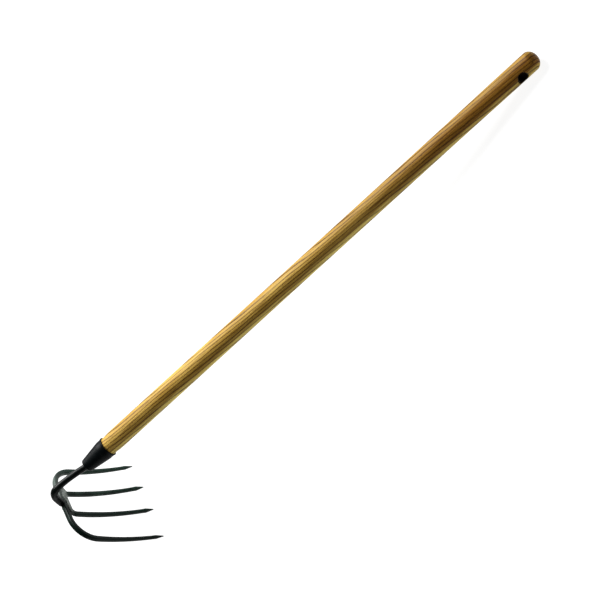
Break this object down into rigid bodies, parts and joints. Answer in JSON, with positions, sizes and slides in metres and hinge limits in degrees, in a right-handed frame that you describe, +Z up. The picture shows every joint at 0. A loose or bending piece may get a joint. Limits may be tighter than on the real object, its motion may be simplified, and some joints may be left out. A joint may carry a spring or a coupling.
{
  "type": "hand rake",
  "caption": "Long-handled garden hand rake: curved pointed steel tines on a swan neck, set in a ferruled ash handle with a hanging hole.",
  "frame": {"origin": "middle of the tool's footprint, on the ground it lies on", "axes": "+Z up as the tool lies on its tine tips and the round of its grip end; +X from the steel head towards the grip end, level; +Y along the row of tines, to the left when looking from the head towards the grip end"},
  "size_m": [0.9164, 0.1364, 0.1582],
  "materials": {
    "ash_wood": "oiled and varnished ash, straight grain, satin gloss",
    "ferrule_black": "black paint on pressed steel, satin",
    "forged_steel": "thin dark green-black lacquer on forged steel, satin",
    "weld_steel": "thin dark green-black lacquer over weld metal"
  },
  "bodies": {
    "root": {"handle": "ash_wood", "ferrule": "ferrule_black", "neck": "forged_steel", "outer_tines": "forged_steel", "inner_tines": "forged_steel", "weld_left": "weld_steel", "weld_right": "weld_steel"}
  },
  "joints": []
}
